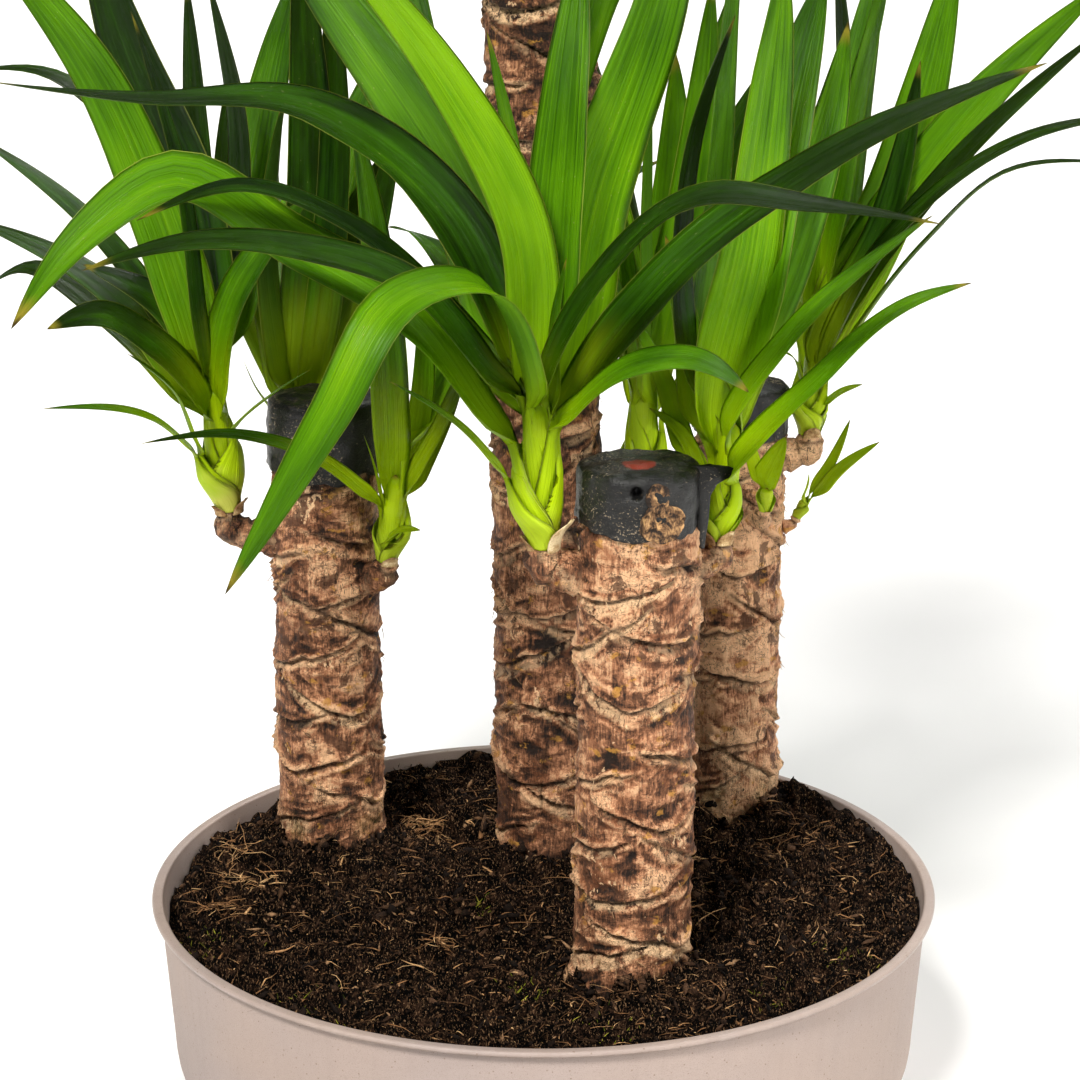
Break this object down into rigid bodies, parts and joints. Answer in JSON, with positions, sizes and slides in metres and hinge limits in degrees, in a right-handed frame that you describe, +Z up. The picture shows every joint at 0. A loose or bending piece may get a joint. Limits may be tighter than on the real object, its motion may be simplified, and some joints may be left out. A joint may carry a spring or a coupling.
{
  "type": "potted yucca",
  "caption": "Potted yucca with cut canes, wax-sealed tops and leafy crowns, standing in soil in a shallow round plastic bowl.",
  "frame": {"origin": "centre of the flat base of the pot, on the surface that the pot stands on", "axes": "+Z up along the canes; -Y toward the front, where the shortest distance from cane to rim is; +X to the right as seen from the front"},
  "size_m": [0.69, 0.6749, 0.9666],
  "materials": {
    "pot_plastic": "matt taupe plastic with fine dark speckle",
    "peat": "damp dark peat with fibres, wood chips and roots",
    "bark": "brown fibrous bark with overlapping leaf scars",
    "wax": "black sealing wax, satin",
    "leaf": "glossy deep green blades with fine lengthwise veins"
  },
  "bodies": {
    "root": {"pot": "pot_plastic", "soil": "peat", "cane_left": "bark", "cane_tall": "bark", "cane_front": "bark", "cane_right": "bark", "cap_left": "wax", "cap_tall": "wax", "cap_front": "wax", "cap_right": "wax", "crown_front_left": "leaf", "crown_front_right": "leaf", "crown_back_middle": "leaf", "crown_left_outer": "leaf", "crown_left_inner": "leaf", "crown_left_back": "leaf", "crown_right": "leaf", "crown_top_right": "leaf", "crown_top_left": "leaf", "crown_top_back": "leaf", "shoot_right_front": "leaf", "shoot_right_side": "leaf"}
  },
  "joints": []
}
